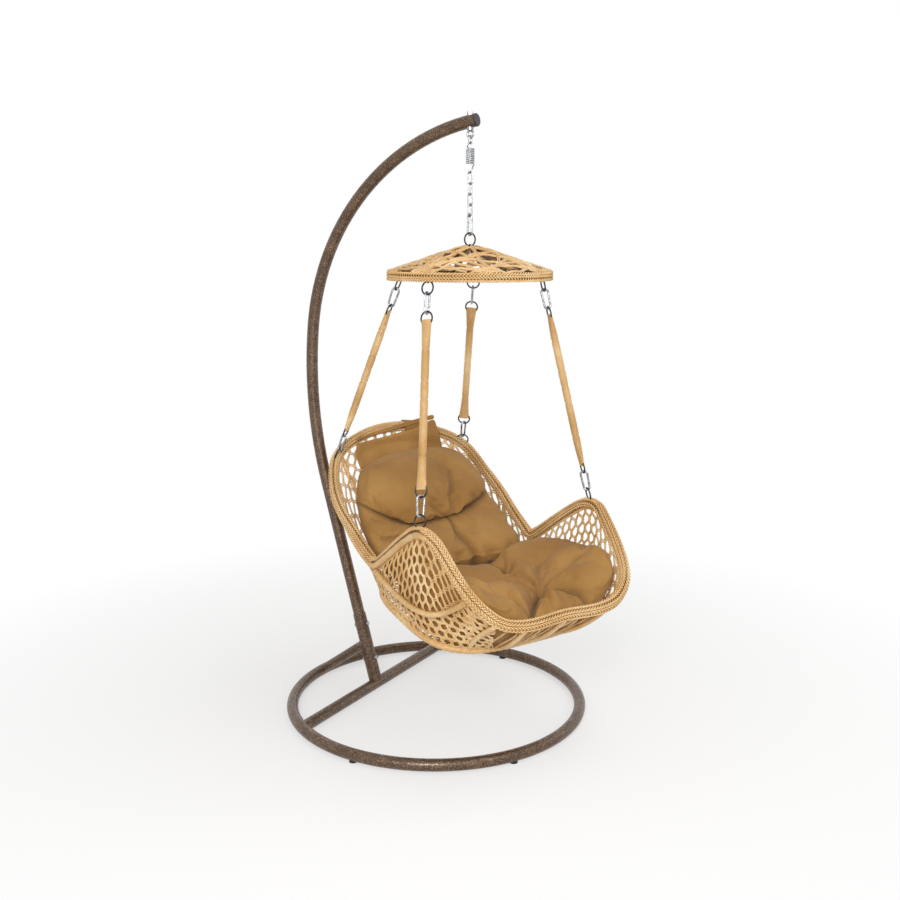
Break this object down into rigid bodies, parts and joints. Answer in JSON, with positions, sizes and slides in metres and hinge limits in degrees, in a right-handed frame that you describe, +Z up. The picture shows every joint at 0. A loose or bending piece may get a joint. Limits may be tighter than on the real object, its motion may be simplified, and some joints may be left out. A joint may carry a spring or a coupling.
{
  "type": "swing chair",
  "caption": "Hanging basket swing chair: a woven cane bucket seat with cushions, slung by wrapped straps from a small cane canopy, on a spring and chain below a curved pole on a round base.",
  "frame": {"origin": "on the floor at the middle of the base ring", "axes": "+Z up, +Y from the ring's middle towards the pole, +X to the stand's right seen from its front; the chair hangs turned about the vertical, as pictured"},
  "size_m": [1.018, 1.2001, 1.9563],
  "materials": {
    "frame_paint": "hammered antique bronze, semi gloss",
    "pad_rubber": "matt black",
    "cap_plastic": "dark brown",
    "zinc_steel": "bright zinc",
    "dark_rings": "gunmetal",
    "canopy_steel": "brown paint",
    "rattan": "honey coloured woven cane, satin",
    "cushion_cloth": "plain khaki brown cloth"
  },
  "bodies": {
    "stand": {"base_ring": "frame_paint", "floor_pads": "pad_rubber", "cross_bar": "frame_paint", "lower_post": "frame_paint", "rear_brace": "frame_paint", "c_pole": "frame_paint", "pole_end_cap": "cap_plastic", "post_bolts": "zinc_steel", "post_nuts": "zinc_steel", "eye_bolt": "zinc_steel", "eye_bolt_nut": "zinc_steel"},
    "top_link": {"top_link": "zinc_steel"},
    "spring": {"hanging_spring": "zinc_steel"},
    "upper_chain": {"chain_link_1": "zinc_steel", "chain_link_2": "zinc_steel"},
    "lower_chain": {"chain_link_3": "zinc_steel", "chain_link_4": "zinc_steel", "main_hook": "zinc_steel", "main_hook_rivet": "zinc_steel"},
    "main_hook_gate": {"main_hook_gate": "zinc_steel"},
    "top_ring": {"top_ring": "dark_rings"},
    "canopy": {"canopy_frame": "canopy_steel", "canopy_rim": "rattan", "canopy_weave": "rattan"},
    "front_straps": {"front_canopy_rings": "dark_rings", "front_hooks": "zinc_steel", "front_hook_rivets": "zinc_steel", "front_strap_rings": "dark_rings", "strap_front_right": "rattan", "strap_front_left": "rattan"},
    "rear_straps": {"rear_canopy_rings": "dark_rings", "rear_hooks": "zinc_steel", "rear_hook_rivets": "zinc_steel", "rear_strap_rings": "dark_rings", "strap_rear_right": "rattan", "strap_rear_left": "rattan"},
    "basket": {"seat_rings": "dark_rings", "basket_rim": "rattan", "bottom_hoop": "rattan", "basket_wall": "rattan", "basket_floor": "rattan", "side_rails": "rattan", "basket_ribs": "rattan", "seat_cushion": "cushion_cloth", "back_cushion": "cushion_cloth", "head_flap": "cushion_cloth", "flap_band": "cushion_cloth"},
    "gate_high_front_right": {"gate_high_front_right": "zinc_steel"},
    "gate_high_front_left": {"gate_high_front_left": "zinc_steel"},
    "gate_high_rear_right": {"gate_high_rear_right": "zinc_steel"},
    "gate_high_rear_left": {"gate_high_rear_left": "zinc_steel"},
    "gate_low_front_right": {"gate_low_front_right": "zinc_steel"},
    "gate_low_front_left": {"gate_low_front_left": "zinc_steel"},
    "gate_low_rear_right": {"gate_low_rear_right": "zinc_steel"},
    "gate_low_rear_left": {"gate_low_rear_left": "zinc_steel"}
  },
  "joints": [
    {"name": "swing_fore_aft", "type": "hinge", "parent": "stand", "child": "top_link", "pos_m": [0, -0.1267, 1.88677], "axis": [1, 0, 0], "range_deg": [-15, 1.2]},
    {"name": "swing_side", "type": "hinge", "parent": "top_link", "child": "spring", "pos_m": [0, -0.1267, 1.86632], "axis": [0, 1, 0], "range_deg": [-10, 10]},
    {"name": "spring_stretch", "type": "slide", "parent": "spring", "child": "upper_chain", "axis": [0, 0, -1], "range_m": [-0.008, 0.03], "stiffness_N_per_m": 25000, "springref_m": -0.01491, "deforming": ["hanging_spring"]},
    {"name": "chain_turn", "type": "hinge", "parent": "upper_chain", "child": "lower_chain", "pos_m": [0, -0.1267, 1.59592], "axis": [0, 0, 1], "range_deg": [-24, 24]},
    {"name": "canopy_nod", "type": "hinge", "parent": "lower_chain", "child": "top_ring", "pos_m": [0, -0.1267, 1.59592], "axis": [0.9015, -0.4329, 0], "range_deg": [-5, 0.6]},
    {"name": "canopy_roll", "type": "hinge", "parent": "top_ring", "child": "canopy", "pos_m": [0, -0.1267, 1.57072], "axis": [0.4329, 0.9015, 0], "range_deg": [-5, 5]},
    {"name": "front_strap_swing", "type": "hinge", "parent": "canopy", "child": "front_straps", "pos_m": [-0.03949, -0.20894, 1.4483], "axis": [0.9015, -0.4329, 0], "range_deg": [-5, 1.2]},
    {"name": "rear_strap_swing", "type": "hinge", "parent": "canopy", "child": "rear_straps", "pos_m": [0.07965, 0.03917, 1.4483], "axis": [0.9015, -0.4329, 0], "range_deg": [-5.5, 1.32]},
    {"name": "basket_swing", "type": "hinge", "parent": "front_straps", "child": "basket", "pos_m": [-0.09136, -0.31696, 0.77691], "axis": [0.9015, -0.4329, 0], "range_deg": [-0.54, 2.25]},
    {"name": "main_gate_swing", "type": "hinge", "parent": "lower_chain", "child": "main_hook_gate", "pos_m": [-0.00433, -0.13572, 1.62634], "axis": [-0.9015, 0.4329, 0], "range_deg": [-25, 0], "stiffness_Nm_per_rad": 0.05},
    {"name": "gate_high_front_right_swing", "type": "hinge", "parent": "front_straps", "child": "gate_high_front_right", "pos_m": [-0.25916, -0.12205, 1.37682], "axis": [-0.046, -0.9937, 0.1021], "range_deg": [-25, 0], "stiffness_Nm_per_rad": 0.05},
    {"name": "gate_high_front_left_swing", "type": "hinge", "parent": "front_straps", "child": "gate_high_front_left", "pos_m": [0.16567, -0.32605, 1.37682], "axis": [0.7468, 0.6572, -0.1021], "range_deg": [-25, 0], "stiffness_Nm_per_rad": 0.05},
    {"name": "gate_high_rear_right_swing", "type": "hinge", "parent": "rear_straps", "child": "gate_high_rear_right", "pos_m": [-0.05269, 0.14023, 1.38271], "axis": [-0.9733, -0.2131, -0.0854], "range_deg": [-25, 0], "stiffness_Nm_per_rad": 0.05},
    {"name": "gate_high_rear_left_swing", "type": "hinge", "parent": "rear_straps", "child": "gate_high_rear_left", "pos_m": [0.24127, -0.00092, 1.38271], "axis": [-0.4422, 0.8928, 0.0854], "range_deg": [-25, 0], "stiffness_Nm_per_rad": 0.05},
    {"name": "gate_low_front_right_swing", "type": "hinge", "parent": "front_straps", "child": "gate_low_front_right", "pos_m": [-0.38518, -0.17048, 0.79241], "axis": [-0.5974, -0.7758, 0.2029], "range_deg": [-25, 0], "stiffness_Nm_per_rad": 0.05},
    {"name": "gate_low_front_left_swing", "type": "hinge", "parent": "front_straps", "child": "gate_low_front_left", "pos_m": [0.19809, -0.46223, 0.79358], "axis": [0.9915, 0.1254, 0.0357], "range_deg": [-25, 0], "stiffness_Nm_per_rad": 0.05},
    {"name": "gate_low_rear_right_swing", "type": "hinge", "parent": "rear_straps", "child": "gate_low_rear_right", "pos_m": [-0.04991, 0.35347, 0.88615], "axis": [-0.9289, 0.3379, 0.1515], "range_deg": [-25, 0], "stiffness_Nm_per_rad": 0.05},
    {"name": "gate_low_rear_left_swing", "type": "hinge", "parent": "rear_straps", "child": "gate_low_rear_left", "pos_m": [0.41103, 0.12432, 0.88517], "axis": [0.12, 0.9491, 0.2914], "range_deg": [-25, 0], "stiffness_Nm_per_rad": 0.05}
  ],
  "couplings": [
    {"joint": "rear_strap_swing", "follows": "front_strap_swing", "ratio": 1.0676},
    {"joint": "basket_swing", "follows": "front_strap_swing", "ratio": -0.42107}
  ]
}
